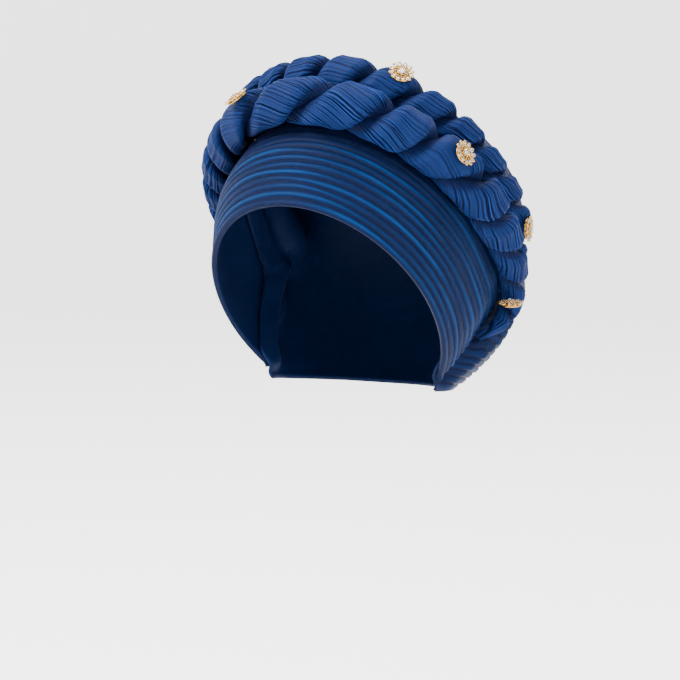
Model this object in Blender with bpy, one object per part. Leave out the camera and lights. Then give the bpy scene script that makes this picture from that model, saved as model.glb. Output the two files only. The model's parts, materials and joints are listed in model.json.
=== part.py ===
"""A turban cap of pleated cloth: a ribbed band over the forehead and ears, a
full pleated bag over the crown and nape, two padded ropes of two twisted
strands each that run from ear to ear over the head, and small flower brooches.

Metres, +Z up. The front of the cap faces -Y and the wearer's left is +X. The
origin is the inside of the crown, where the cap sits on the head.
"""
import math

import bmesh
import bpy
import mathutils
import mathutils.bvhtree
import numpy as np

# Head form: an ellipsoid through the outer face of the forehead band.
HEAD_CENTRE = np.array([0.0, 0.0, -0.104])
HEAD_SEMI = np.array([0.0825, 0.0935, 0.101])
EYE_OF_FORM = np.array([0.0, 0.020, -0.098])

# Full bag of cloth behind the ropes.
BAG_CENTRE = np.array([0.0, 0.0353, -0.0969])
BAG_SEMI = np.array([0.0990, 0.0990, 0.1005])
BAG_BLEND = 0.004

# Cloth.
WALL = 0.002
CLOTH_GAP = 0.0006
LEAST_WALL = 0.0011
SETTLE_GAP = 0.0005
SETTLE_STEP = 0.0003
SETTLE_ROUNDS = 120
CROWN_RISE = 0.0055
CROWN_RISE_START = -0.066
CROWN_RISE_LENGTH = 0.042
BROW_RISE = 0.0045
BROW_RISE_START = -0.099
BROW_RISE_LENGTH = 0.040

# Forehead band: its front edge lies in a plane tilted back by BAND_TILT.
BAND_TILT = math.radians(52.3)
BAND_EDGE_HEIGHT = -0.1023
BAND_TOP_TILT = math.radians(51.3)
BAND_TOP_HEIGHT = -0.0303
BAND_RIBS = 13
BAND_RIB_DEPTH = 0.0010
BAND_RIBBED_SHARE = 0.84
BAND_COLUMNS = 33
BAND_INNER_ROWS = 6

# Rear hem of the band, a straight cut when seen from the side.
HEM_TIP = np.array([0.005, -0.170])
HEM_TOP = np.array([0.0540, -0.110])
HEM_FLARE = 0.0065
HEM_FLARE_REACH = 0.050
CORNER_FLARE = 0.0060
CORNER_START = -0.1685
CORNER_LENGTH = 0.010

# Crown bag: each pleat runs from one side edge round the back to the other.
BAG_EDGE = [
    # share of the pleats, side edge y, side edge z, angle of the back point
    (0.00, 0.004, -0.180, -66.0),
    (0.05, 0.002, -0.172, -62.0),
    (0.12, -0.001, -0.163, -57.0),
    (0.25, 0.009, -0.150, -49.0),
    (0.37, 0.019, -0.138, -38.0),
    (0.48, 0.027, -0.1275, -20.0),
    (0.62, 0.0325, -0.1195, 20.0),
    (0.80, 0.0335, -0.1130, 76.0),
    (1.00, 0.0315, -0.1070, 132.5),
]
BAG_PLEATS = 24
BAG_PLEAT_DEPTH = 0.0012
BAG_PUFF_START = 0.003
BAG_PUFF_RISE = 0.016
BAG_COLUMNS = 21
BAG_SIDE_SHARE = 0.55

# Ropes: an axis where a tilted plane cuts an ellipsoid wider than the head.
ROPE_GAP = 0.0018
ROPE_CLEARANCE = 0.0012
BAG_CLEARANCE = 0.0022
VALLEY_SLOPE = 1.3
STRAND_GAP = 0.0006
PRESS_START = 0.40
PRESS_SHARE = 0.60
STATION_TWIST = math.radians(40.0)
STATION_LENGTH = 0.012

FRONT_ROPE = {
    "centre": np.array([0.0, 0.0024, -0.104]),
    "semi": np.array([0.0991, 0.1175, 0.1199]),
    "tilt": math.radians(47.8),
    "height": -0.0389,
    "end_angle": math.radians(103.5),
    "tail": [
        # x, y, z of the end that thins out and tucks in behind the hem
        (0.0913, 0.0480, -0.1150),
        (0.0893, 0.0497, -0.1250),
        (0.0866, 0.0470, -0.1345),
        (0.0837, 0.0412, -0.1410),
        (0.0806, 0.0345, -0.1448),
        (0.0772, 0.0275, -0.1473),
    ],
    "radius": [
        # distance from the middle, radius
        (-0.262, 0.0018),
        (-0.246, 0.0030),
        (-0.236, 0.0068),
        (-0.222, 0.0082),
        (-0.195, 0.0092),
        (-0.168, 0.0112),
        (-0.130, 0.0128),
        (-0.070, 0.0132),
        (-0.020, 0.0145),
        (0.030, 0.0155),
        (0.100, 0.0155),
        (0.135, 0.0147),
        (0.166, 0.0120),
        (0.190, 0.0105),
        (0.212, 0.0087),
        (0.224, 0.0076),
        (0.233, 0.0064),
        (0.240, 0.0042),
        (0.248, 0.0026),
        (0.262, 0.0018),
    ],
    "lean": [
        # distance from the middle, slant of the folds along the rope
        (-0.262, 0.60),
        (-0.100, 0.45),
        (-0.050, 0.70),
        (0.030, 0.70),
        (0.080, 0.50),
        (0.120, 0.50),
        (0.170, 0.70),
        (0.262, 0.70),
    ],
    "spin": [
        # distance from the middle, angle of the first strand in degrees
        (-0.262, 1520.0),
        (-0.245, 1450.0),
        (-0.200, 1090.0),
        (-0.143, 662.0),
        (-0.118, 470.0),
        (-0.091, 277.0),
        (-0.066, 86.0),
        (-0.023, -120.0),
        (0.021, -310.0),
        (0.057, -492.0),
        (0.086, -671.0),
        (0.124, -846.0),
        (0.151, -1020.0),
        (0.180, -1193.0),
        (0.208, -1364.0),
        (0.229, -1530.0),
        (0.245, -1640.0),
        (0.262, -1700.0),
    ],
}

BACK_ROPE = {
    "centre": np.array([0.0, -0.0012, -0.104]),
    "semi": np.array([0.1063, 0.1062, 0.1211]),
    "tilt": math.radians(50.7),
    "height": -0.0097,
    "end_angle": math.radians(118.0),
    "tail": [],
    "radius": [
        (-0.200, 0.0060),
        (-0.186, 0.0100),
        (-0.162, 0.0125),
        (-0.125, 0.0150),
        (0.125, 0.0152),
        (0.162, 0.0125),
        (0.186, 0.0104),
        (0.200, 0.0060),
    ],
    "lean": [
        (-0.200, 0.50),
        (0.020, 0.50),
        (0.080, 0.35),
        (0.200, 0.40),
    ],
    "spin": [
        (-0.200, 1280.0),
        (-0.046, 84.0),
        (-0.024, -106.0),
        (0.002, -293.0),
        (0.031, -476.0),
        (0.060, -657.0),
        (0.084, -835.0),
        (0.108, -1011.0),
        (0.131, -1186.0),
        (0.154, -1358.0),
        (0.184, -1523.0),
        (0.200, -1630.0),
    ],
}

# Outline of one strand, in shares of the rope's radius: along the plane that
# parts the two strands, and away from it.
STRAND_OUTLINE = [
    (-0.52, 0.00),
    (-0.84, 0.34),
    (-0.67, 0.79),
    (-0.24, 0.99),
    (0.24, 0.99),
    (0.67, 0.79),
    (0.84, 0.34),
    (0.52, 0.00),
]

# Brooches: rings of points from the back plate to the centre stone, in
# metres out from the middle and up from the cloth, and how deep the petals cut.
BROOCH_PETALS = 12
BROOCH_GAP = 0.0003
BROOCH_START = 0.030
BROOCH_RINGS = [
    # radius, height, depth of the petals as a share
    (0.0058, 0.0000, 0.00),
    (0.0082, 0.0010, 0.20),
    (0.0078, 0.0022, 0.20),
    (0.0030, 0.0026, 0.00),
    (0.0024, 0.0040, 0.00),
]
BROOCHES = [
    # rope, distance along it, angle round it to the middle, angle of its face,
    # lean of its face along the rope
    ("back", 0.0427, 10.0, 24.0, 0.0),
    ("front", 0.0960, 14.0, 8.0, 6.0),
    ("back", 0.1630, 60.0, 24.0, 0.0),
    ("front", 0.2180, 84.0, 155.0, -74.0),
    ("front", -0.0420, 18.0, -4.0, 0.0),
]

CLOTH_BLUE = (0.012, 0.075, 0.300, 1.0)
ROPE_BLUE = (0.010, 0.062, 0.255, 1.0)
GOLD = (0.83, 0.66, 0.36, 1.0)


def smooth_step(value):
    """0 below 0, 1 above 1, and a smooth ramp between."""
    share = np.clip(value, 0.0, 1.0)
    return share * share * (3.0 - 2.0 * share)


def read_table(position, rows, column):
    """A column of a table at a position, on a smooth curve through its rows."""
    keys = np.array([row[0] for row in rows])
    values = np.array([row[column] for row in rows])
    steps = np.diff(values) / np.diff(keys)
    product = steps[1:] * steps[:-1]
    middle = np.where(product > 0.0, 2.0 * product / (steps[1:] + steps[:-1] + 1e-12), 0.0)
    slopes = np.concatenate([steps[:1], middle, steps[-1:]])
    place = np.clip(position, keys[0], keys[-1])
    index = np.clip(np.searchsorted(keys, place) - 1, 0, len(keys) - 2)
    width = keys[index + 1] - keys[index]
    share = (place - keys[index]) / width
    square = share * share
    cube = square * share
    return (
        (2.0 * cube - 3.0 * square + 1.0) * values[index]
        + (cube - 2.0 * square + share) * width * slopes[index]
        + (3.0 * square - 2.0 * cube) * values[index + 1]
        + (cube - square) * width * slopes[index + 1]
    )


def unit(vectors):
    """Vectors scaled to length 1."""
    return vectors / np.linalg.norm(vectors, axis=-1, keepdims=True)


def tilted_axes(tilt):
    """Normal of a plane tilted back by an angle, and the way up within it."""
    normal = np.array([0.0, math.sin(tilt), math.cos(tilt)])
    upward = np.array([0.0, -math.cos(tilt), math.sin(tilt)])
    return normal, upward


def ray_to_ellipsoid(start, directions, centre, semi):
    """How far rays from inside an ellipsoid travel before they leave it."""
    offset = (start - centre) / semi
    heading = directions / semi
    a = np.sum(heading * heading, axis=-1)
    b = np.sum(offset * heading, axis=-1)
    c = np.sum(offset * offset, axis=-1) - 1.0
    return (-b + np.sqrt(b * b - a * c)) / a


def plane_cut(centre, semi, tilt, height):
    """The oval where a tilted plane cuts an ellipsoid.

    Gives the oval's middle, its half width along X, its half height and the
    direction of that height.
    """
    normal, upward = tilted_axes(tilt)
    lift = height - centre @ normal
    a = np.sum((upward / semi) ** 2)
    b = 2.0 * lift * np.sum(normal * upward / semi**2)
    c = lift * lift * np.sum((normal / semi) ** 2) - 1.0
    along = -b / (2.0 * a)
    half_height = math.sqrt(along * along - c / a)
    half_width = semi[0] * math.sqrt(a) * half_height
    middle = centre + lift * normal + along * upward
    return middle, half_width, half_height, upward


def oval_points(oval, angles):
    """Points of an oval, at angles measured from its top towards +X."""
    middle, half_width, half_height, upward = oval
    across = np.outer(half_width * np.sin(angles), [1.0, 0.0, 0.0])
    return middle + across + np.outer(half_height * np.cos(angles), upward)


def arc_lengths(points):
    """Distance along a line of points, from its first."""
    steps = np.linalg.norm(np.diff(points, axis=0), axis=1)
    return np.concatenate([[0.0], np.cumsum(steps)])


def rope_route(rope):
    """Fine points of a rope's axis, from the right ear over to the left."""
    oval = plane_cut(rope["centre"], rope["semi"], rope["tilt"], rope["height"])
    half = oval_points(oval, np.linspace(0.0, rope["end_angle"], 60))
    if rope["tail"]:
        half = np.vstack([half, np.array(rope["tail"])])
    length = arc_lengths(half)
    fine = np.linspace(0.0, length[-1], 241)
    curve = [read_table(fine, np.column_stack([length, half]), axis) for axis in (1, 2, 3)]
    left = np.stack(curve, axis=1)
    right = left[:0:-1] * np.array([-1.0, 1.0, 1.0])
    return np.vstack([right, left])


def rope_frame(rope):
    """Axis, directions, radius and spin of a rope at closely spaced points."""
    points = rope_route(rope)
    along = arc_lengths(points)
    along = along - along[len(along) // 2]
    tangent = unit(np.gradient(points, axis=0))
    outward = (points - rope["centre"]) / rope["semi"] ** 2
    outward = outward - np.sum(outward * tangent, axis=1)[:, None] * tangent
    outward = unit(outward)
    frame = {
        "points": points,
        "along": along,
        "tangent": tangent,
        "outward": outward,
        "forward": np.cross(tangent, outward),
        "radius": read_table(along, rope["radius"], 1),
        "lean": read_table(along, rope["lean"], 1),
        "spin": np.radians(read_table(along, rope["spin"], 1)),
    }
    return frame


def squeeze_beside(frame, other):
    """Thin a rope where the other one lies against it."""
    apart = np.linalg.norm(frame["points"][:, None] - other["points"][None], axis=2)
    room = np.min(apart - other["radius"][None], axis=1) - ROPE_GAP
    frame["radius"] = np.minimum(frame["radius"], room)


def pressed(height, radius):
    """Height above a rope's axis once the rope is pressed flat on the head."""
    start = -PRESS_START * radius
    return np.where(height < start, start + PRESS_SHARE * (height - start), height)


def clear_of_ropes(points, frames, clearance):
    """Sink points towards the head into valleys that pass under the ropes.

    The clearance is one value, or one value for each point.
    """
    clearance = np.broadcast_to(clearance, points.shape[:-1]).reshape(-1, 1)
    flat = points.reshape(-1, 3)
    heading = unit(flat - EYE_OF_FORM)
    reach = np.linalg.norm(flat - EYE_OF_FORM, axis=1)
    for frame in frames:
        to_axis = frame["points"] - EYE_OF_FORM
        wanted = frame["radius"] + clearance
        depth = heading @ to_axis.T
        miss = np.sqrt(np.maximum(np.sum(to_axis**2, axis=1) - depth**2, 0.0))
        below = np.sqrt(np.maximum(wanted**2 - miss**2, 0.0))
        under = depth + pressed(-below, wanted)
        beside = depth + VALLEY_SLOPE * (miss - wanted)
        limit = np.where(miss < wanted, under, beside)
        limit = np.where(depth > 0.0, limit, 1.0)
        reach = np.minimum(reach, np.min(limit, axis=1))
    return (EYE_OF_FORM + reach[:, None] * heading).reshape(points.shape)


def hem_place(points):
    """How far points lie behind the hem, and how far up along it, 0 to 1."""
    line = HEM_TOP - HEM_TIP
    length = np.linalg.norm(line)
    along = line / length
    behind = np.array([along[1], -along[0]])
    local = points[..., 1:] - HEM_TIP
    return local @ behind, (local @ along) / length


def cap_base(points):
    """The head form with the cloth's flare at the hem and rise at the crown."""
    heading = unit(points - EYE_OF_FORM)
    reach = ray_to_ellipsoid(EYE_OF_FORM, heading, HEAD_CENTRE, HEAD_SEMI)
    on_head = EYE_OF_FORM + reach[..., None] * heading
    behind, up_hem = hem_place(on_head)
    flare = smooth_step(1.0 + behind / HEM_FLARE_REACH) * smooth_step(up_hem)
    normal, _ = tilted_axes(BAND_TILT)
    rise = smooth_step((on_head @ normal - CROWN_RISE_START) / CROWN_RISE_LENGTH)
    brow = smooth_step((on_head @ normal - BROW_RISE_START) / BROW_RISE_LENGTH)
    brow = brow * smooth_step(-2.0 * behind / HEM_FLARE_REACH)
    corner = smooth_step((CORNER_START - points[..., 2]) / CORNER_LENGTH)
    reach = reach + HEM_FLARE * flare + CROWN_RISE * rise
    reach = reach + BROW_RISE * brow * (1.0 - rise) + CORNER_FLARE * corner
    return heading, reach


def grid_normals(grid):
    """Outward unit normals of a grid of points on the cap."""
    rows = np.gradient(grid, axis=0)
    columns = np.gradient(grid, axis=1)
    normals = unit(np.cross(rows, columns))
    outward = np.sum(normals * (grid - EYE_OF_FORM), axis=-1, keepdims=True)
    return np.where(outward < 0.0, -normals, normals)


def band_grid(shares, columns, frames):
    """Smooth outer face of the band: rows up the band, columns round it."""
    sides = np.linspace(-1.0, 1.0, columns)
    line = HEM_TOP - HEM_TIP
    rows = []
    for share in shares:
        tilt = BAND_TILT + share * (BAND_TOP_TILT - BAND_TILT)
        height = BAND_EDGE_HEIGHT + share * (BAND_TOP_HEIGHT - BAND_EDGE_HEIGHT)
        oval = plane_cut(HEAD_CENTRE, HEAD_SEMI, tilt, height)
        middle, _, half_height, upward = oval
        system = np.array([[upward[1], -line[0]], [upward[2], -line[1]]])
        drop = np.linalg.solve(system, HEM_TIP - middle[1:])[0]
        end_angle = math.acos(max(-1.0, drop / half_height))
        rows.append(oval_points(oval, sides * end_angle))
    points = np.array(rows)
    heading, reach = cap_base(points)
    points = EYE_OF_FORM + reach[..., None] * heading
    return clear_of_ropes(points, frames, ROPE_CLEARANCE + BAND_RIB_DEPTH)


def bag_grid(shares, columns, frames):
    """Smooth outer face of the bag: rows from nape to brow, columns round."""
    side_y = read_table(shares, BAG_EDGE, 1)
    side_z = read_table(shares, BAG_EDGE, 2)
    back = np.radians(read_table(shares, BAG_EDGE, 3))
    even = np.linspace(0.0, math.pi, columns)
    angles = even - BAG_SIDE_SHARE * (even - 0.5 * math.pi * (1.0 - np.cos(even)))
    start = np.stack([np.zeros_like(side_y), side_y, side_z], axis=1)
    back_y = BAG_CENTRE[1] + BAG_SEMI[1] * np.cos(back)
    back_z = BAG_CENTRE[2] + BAG_SEMI[2] * np.sin(back)
    inward = unit(np.stack([np.zeros_like(back), back_y - side_y, back_z - side_z], axis=1))
    across = np.array([-1.0, 0.0, 0.0])
    rays = np.cos(angles)[None, :, None] * across
    rays = rays + np.sin(angles)[None, :, None] * inward[:, None, :]
    distance = np.full(rays.shape[:2], 0.080)
    near = np.full(rays.shape[:2], 0.010)
    far = np.full(rays.shape[:2], 0.260)
    for _ in range(26):
        distance = 0.5 * (near + far)
        points = start[:, None, :] + distance[..., None] * rays
        beyond = np.linalg.norm(points - EYE_OF_FORM, axis=-1) > bag_reach(points)
        far = np.where(beyond, distance, far)
        near = np.where(beyond, near, distance)
    points = start[:, None, :] + distance[..., None] * rays
    tucked = (WALL + CLOTH_GAP) * (1.0 - bag_openness(points))
    return clear_of_ropes(points, frames, BAG_CLEARANCE + BAG_PLEAT_DEPTH + tucked)


def bag_reach(points):
    """How far the bag's face lies from the eye of the form, through points."""
    heading, under = cap_base(points)
    full = ray_to_ellipsoid(EYE_OF_FORM, heading, BAG_CENTRE, BAG_SEMI)
    open_share = bag_openness(points)
    tucked = under - (WALL + CLOTH_GAP) * (1.0 - open_share)
    puffed = 0.5 * (tucked + full + np.sqrt((tucked - full) ** 2 + BAG_BLEND**2))
    return tucked + (puffed - tucked) * open_share


def bag_openness(points):
    """0 where the bag is tucked under the band, 1 where it is free."""
    behind, _ = hem_place(points)
    normal, _ = tilted_axes(BAND_TOP_TILT)
    above = points @ normal - BAND_TOP_HEIGHT
    side = smooth_step((behind - BAG_PUFF_START) / BAG_PUFF_RISE)
    top = smooth_step((above - BAG_PUFF_START) / BAG_PUFF_RISE)
    return np.maximum(side, top)


def new_material(name, colour, roughness, metallic):
    """A plain Principled material."""
    material = bpy.data.materials.new(name)
    material.use_nodes = True
    shader = material.node_tree.nodes["Principled BSDF"]
    shader.inputs["Base Color"].default_value = colour
    shader.inputs["Roughness"].default_value = roughness
    shader.inputs["Metallic"].default_value = metallic
    material.diffuse_color = colour
    return material


def ladder(mesh, outer, inner):
    """Faces between two lines of vertices that run side by side."""
    outer_share = arc_lengths(np.array([vertex.co for vertex in outer]))
    inner_share = arc_lengths(np.array([vertex.co for vertex in inner]))
    outer_share = outer_share / outer_share[-1]
    inner_share = inner_share / inner_share[-1]
    step_out = 0
    step_in = 0
    while step_out < len(outer) - 1 or step_in < len(inner) - 1:
        ahead_out = outer_share[step_out + 1] if step_out < len(outer) - 1 else 2.0
        ahead_in = inner_share[step_in + 1] if step_in < len(inner) - 1 else 2.0
        if ahead_out <= ahead_in:
            mesh.faces.new((outer[step_out], outer[step_out + 1], inner[step_in]))
            step_out += 1
        else:
            mesh.faces.new((outer[step_out], inner[step_in + 1], inner[step_in]))
            step_in += 1


def loft(name, sections, collection, material, flips=(), outer_count=0):
    """A closed body through closed sections of equal point counts.

    The flips say, place by place, which way the faces' diagonals run. Where an
    outer count is given, each section is an outer line and the inner line back.
    """
    sections = np.asarray(sections)
    count, width = sections.shape[:2]
    mesh = bmesh.new()
    vertices = [[mesh.verts.new(point) for point in section] for section in sections]
    for row in range(count - 1):
        for place in range(width):
            beside = (place + 1) % width
            low, low_next = vertices[row][place], vertices[row][beside]
            high, high_next = vertices[row + 1][place], vertices[row + 1][beside]
            if place in flips:
                mesh.faces.new((low, low_next, high))
                mesh.faces.new((low_next, high_next, high))
            else:
                mesh.faces.new((low, low_next, high_next))
                mesh.faces.new((low, high_next, high))
    for end in (vertices[0], vertices[-1]):
        if outer_count:
            ladder(mesh, end[:outer_count], end[outer_count:][::-1])
        else:
            bmesh.ops.triangulate(mesh, faces=[mesh.faces.new(end)])
    bmesh.ops.recalc_face_normals(mesh, faces=mesh.faces)
    data = bpy.data.meshes.new(name)
    mesh.to_mesh(data)
    mesh.free()
    data.shade_smooth()
    data.set_sharp_from_angle(angle=math.radians(40.0))
    data.materials.append(material)
    part = bpy.data.objects.new(name, data)
    collection.objects.link(part)
    return part


def ribbed_shares(ribs, low, high):
    """Rows at each valley and crest of the ribs, and how high each stands."""
    shares = np.linspace(low, high, 2 * ribs + 1)
    crest = np.arange(2 * ribs + 1) % 2
    return shares, crest.astype(float)


def wall_sections(outer, inner):
    """Sections of a cloth wall: the outer face up, the inner face back down."""
    columns = outer.shape[1]
    return [np.vstack([outer[:, column], inner[::-1, column]]) for column in range(columns)]


def grid_faces(rows, columns):
    """Corner numbers of the faces of a grid, split as the lofts split them."""
    faces = []
    for column in range(columns - 1):
        for row in range(rows - 1):
            low = row * columns + column
            high = low + 1
            faces.append((low, low + columns, high + columns))
            faces.append((low, high + columns, high))
    return faces


def settled(face, tree, gap):
    """A face of cloth sunk towards the head wherever it is not clear of others."""
    faces = grid_faces(*face.shape[:2])
    points = face.reshape(-1, 3).copy()
    heading = unit(points - EYE_OF_FORM)
    for _ in range(SETTLE_ROUNDS):
        raised = points + gap * heading
        own = mathutils.bvhtree.BVHTree.FromPolygons(raised.tolist(), faces, all_triangles=True)
        hits = own.overlap(tree)
        if not hits:
            break
        corners = sorted({corner for hit in hits for corner in faces[hit[0]]})
        points[corners] -= SETTLE_STEP * heading[corners]
    return points.reshape(face.shape)


def lined(face, outer):
    """The inner face of a cloth wall, kept inside its outer face."""
    heading = unit(face - EYE_OF_FORM)
    inner = face - WALL * unit(grid_normals(face) + heading)
    faces = grid_faces(*outer.shape[:2])
    corners = outer.reshape(-1, 3).tolist()
    tree = mathutils.bvhtree.BVHTree.FromPolygons(corners, faces, all_triangles=True)
    return settled(inner, tree, LEAST_WALL)


def tree_of(parts):
    """All faces of some parts, for finding what lies near or crosses."""
    mesh = bmesh.new()
    for part in parts:
        mesh.from_mesh(part.data)
    tree = mathutils.bvhtree.BVHTree.FromBMesh(mesh)
    mesh.free()
    return tree


def add_band(frames, tree, collection, material):
    """The forehead band, ribbed from its front edge up to the ropes."""
    shares, crest = ribbed_shares(BAND_RIBS, 0.0, BAND_RIBBED_SHARE)
    shares = np.append(shares, 1.0)
    crest = np.append(crest, 0.0)
    smooth = band_grid(shares, BAND_COLUMNS, frames)
    outer = smooth + BAND_RIB_DEPTH * crest[:, None, None] * grid_normals(smooth)
    outer = settled(outer, tree, SETTLE_GAP)
    inner_rows = np.linspace(0, len(shares) - 1, BAND_INNER_ROWS).round().astype(int)
    inner = lined(outer[inner_rows], outer)
    sections = wall_sections(outer, inner)
    return loft("forehead_band", sections, collection, material, outer_count=len(shares))


def add_bag(frames, tree, collection, material):
    """The pleated bag over the crown and the nape."""
    shares, crest = ribbed_shares(BAG_PLEATS, 0.0, 1.0)
    smooth = bag_grid(shares, BAG_COLUMNS, frames)
    height = BAG_PLEAT_DEPTH * crest[:, None] * bag_openness(smooth)
    outer = settled(smooth + height[..., None] * grid_normals(smooth), tree, SETTLE_GAP)
    inner = lined(outer[::2], outer)
    sections = wall_sections(outer, inner)
    return loft("crown_bag", sections, collection, material, outer_count=len(shares))


def rope_stations(frame):
    """Places along a rope, spaced by its twist and by its length."""
    twist = arc_lengths(frame["spin"][:, None]) / STATION_TWIST
    run = arc_lengths(frame["points"]) / STATION_LENGTH
    pace = arc_lengths(np.stack([twist, run], axis=1))
    count = int(math.ceil(pace[-1]))
    return np.interp(np.linspace(0.0, pace[-1], count + 1), pace, frame["along"])


def rope_at(frame, place):
    """Axis point, outward and forward directions, radius and spin there."""
    along = frame["along"]
    values = {}
    for key in ("points", "tangent", "outward", "forward"):
        column = frame[key]
        values[key] = np.array([np.interp(place, along, column[:, axis]) for axis in range(3)])
    for key in ("radius", "lean", "spin"):
        values[key] = float(np.interp(place, along, frame[key]))
    return values


def strand_sections(frame, half_turn):
    """Sections of one strand of a rope."""
    sections = []
    for place in rope_stations(frame):
        here = rope_at(frame, place)
        turn = here["spin"] + half_turn
        away = math.cos(turn) * here["outward"] + math.sin(turn) * here["forward"]
        beside = math.sin(turn) * here["outward"] - math.cos(turn) * here["forward"]
        section = []
        for across, height in STRAND_OUTLINE:
            lift = height * here["radius"] + 0.5 * STRAND_GAP
            offset = across * here["radius"] * beside + lift * away
            height = offset @ here["outward"]
            offset = offset + (pressed(height, here["radius"]) - height) * here["outward"]
            slant = here["lean"] * (offset @ here["forward"])
            section.append(here["points"] + offset + slant * here["tangent"])
        sections.append(section)
    return sections


def add_rope(name, frame, collection, material):
    """Both strands of a rope."""
    first = strand_sections(frame, 0.0)
    second = strand_sections(frame, math.pi)
    places = range(len(STRAND_OUTLINE))
    strand_a = loft(name + "_strand_a", first, collection, material, flips=places[:-1])
    strand_b = loft(name + "_strand_b", second, collection, material, flips=places)
    return [strand_a, strand_b]


def brooch_axes(here, face, lean):
    """Face direction of a brooch and two directions across it."""
    normal = math.cos(face) * here["outward"] + math.sin(face) * here["forward"]
    normal = unit(math.cos(lean) * normal + math.sin(lean) * here["tangent"])
    side = unit(np.cross(here["tangent"], normal))
    return normal, side, np.cross(normal, side)


def seated(points, away, tree):
    """Points lowered against a direction until they all but touch the cloth."""
    points = points + BROOCH_START * away
    for _ in range(60):
        apart = min(tree.find_nearest(mathutils.Vector(point))[3] for point in points)
        points = points - (apart - BROOCH_GAP) * away
    return points


def add_brooch(name, row, frames, tree, collection, material):
    """One flower brooch: a plate, a ring of petals and a stone, in one body."""
    rope, place, angle, face, lean = row
    here = rope_at(frames[rope], place)
    turn = math.radians(angle)
    away = math.cos(turn) * here["outward"] + math.sin(turn) * here["forward"]
    middle = here["points"] + here["radius"] * away
    normal, side, other = brooch_axes(here, math.radians(face), math.radians(lean))
    count = 2 * BROOCH_PETALS
    turns = np.arange(count) * math.pi / BROOCH_PETALS
    round_it = np.outer(np.cos(turns), side) + np.outer(np.sin(turns), other)
    sections = []
    for radius, height, depth in BROOCH_RINGS:
        ring = radius * (1.0 - depth * (np.arange(count) % 2))
        sections.append(middle + ring[:, None] * round_it + height * normal)
    plate = [middle + share * BROOCH_RINGS[0][0] * round_it for share in (0.0, 0.35, 0.7)]
    points = seated(np.vstack(sections + plate), away, tree)
    loft(name, points[: len(sections) * count].reshape(len(sections), count, 3), collection, material)


def main():
    """Clear the file and model the cap."""
    for item in list(bpy.data.objects):
        bpy.data.objects.remove(item, do_unlink=True)
    collection = bpy.data.collections.new("turban_cap")
    bpy.context.scene.collection.children.link(collection)
    cloth = new_material("pleated_cloth", CLOTH_BLUE, 0.7, 0.0)
    rope_cloth = new_material("rope_cloth", ROPE_BLUE, 0.75, 0.0)
    gold = new_material("gold", GOLD, 0.25, 1.0)
    front = rope_frame(FRONT_ROPE)
    back = rope_frame(BACK_ROPE)
    squeeze_beside(back, front)
    frames = [front, back]
    strands = add_rope("front_rope", front, collection, rope_cloth)
    strands += add_rope("back_rope", back, collection, rope_cloth)
    tree = tree_of(strands)
    band = add_band(frames, tree, collection, cloth)
    add_bag(frames, tree_of(strands + [band]), collection, cloth)
    ropes = {"front": front, "back": back}
    for number, row in enumerate(BROOCHES, start=1):
        add_brooch("brooch_%d" % number, row, ropes, tree, collection, gold)


main()
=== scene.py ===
"""The looks of the turban cap: finely ribbed cloth, gathered padded ropes and
flower brooches, each built over the form of the solid that it stands for.

Metres, +Z up. The front of the cap faces -Y and the wearer's left is +X.
"""

import json
import math

import bmesh
import bpy
import numpy as np
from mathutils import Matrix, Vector
from mathutils.bvhtree import BVHTree

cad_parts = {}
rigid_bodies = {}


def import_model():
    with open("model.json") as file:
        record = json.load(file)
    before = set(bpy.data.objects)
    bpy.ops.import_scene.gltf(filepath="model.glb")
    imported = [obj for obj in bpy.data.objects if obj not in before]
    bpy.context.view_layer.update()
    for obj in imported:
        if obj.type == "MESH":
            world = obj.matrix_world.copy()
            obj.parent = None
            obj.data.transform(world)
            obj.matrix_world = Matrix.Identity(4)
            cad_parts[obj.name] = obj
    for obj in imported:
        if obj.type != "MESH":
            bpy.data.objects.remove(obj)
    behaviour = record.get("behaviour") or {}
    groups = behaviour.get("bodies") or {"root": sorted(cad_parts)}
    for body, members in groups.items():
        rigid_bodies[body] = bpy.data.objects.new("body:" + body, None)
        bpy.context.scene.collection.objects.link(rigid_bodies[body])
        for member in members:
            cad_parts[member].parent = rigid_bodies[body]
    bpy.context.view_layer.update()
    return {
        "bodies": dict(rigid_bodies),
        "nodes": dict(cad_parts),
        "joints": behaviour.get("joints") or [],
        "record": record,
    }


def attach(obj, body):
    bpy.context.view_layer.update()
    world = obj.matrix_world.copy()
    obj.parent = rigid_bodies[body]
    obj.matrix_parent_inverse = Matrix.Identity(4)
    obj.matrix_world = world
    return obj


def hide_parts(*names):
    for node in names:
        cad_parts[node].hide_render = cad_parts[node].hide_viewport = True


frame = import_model()

# Head form: an ellipsoid through the outer face of the forehead band.
HEAD_CENTRE = np.array([0.0, 0.0, -0.104])
HEAD_SEMI = np.array([0.0825, 0.0935, 0.101])
EYE = np.array([0.0, 0.020, -0.098])  # where all rays start

# Full bag of cloth behind the ropes.
BAG_CENTRE = np.array([0.0, 0.0353, -0.0969])
BAG_SEMI = np.array([0.0990, 0.0990, 0.1005])
BAG_BLEND = 0.004

# Cloth.
WALL = 0.002
CLOTH_GAP = 0.0006
SETTLE_GAP = 0.0005
SETTLE_STEP = 0.0003
SETTLE_ROUNDS = 120
CROWN_RISE = (0.0055, -0.066, 0.042)  # height, start, length
BROW_RISE = (0.0045, -0.099, 0.040)

# Forehead band: its front edge lies in a plane tilted back by BAND_TILT.
BAND_TILT = math.radians(52.3)
BAND_EDGE_HEIGHT = -0.1023
BAND_TOP_TILT = math.radians(51.3)
BAND_TOP_HEIGHT = -0.0303
BAND_RIBS = 13
BAND_RIB_DEPTH = 0.0010
BAND_RIBBED_SHARE = 0.84
BAND_COLUMNS = 33

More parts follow.
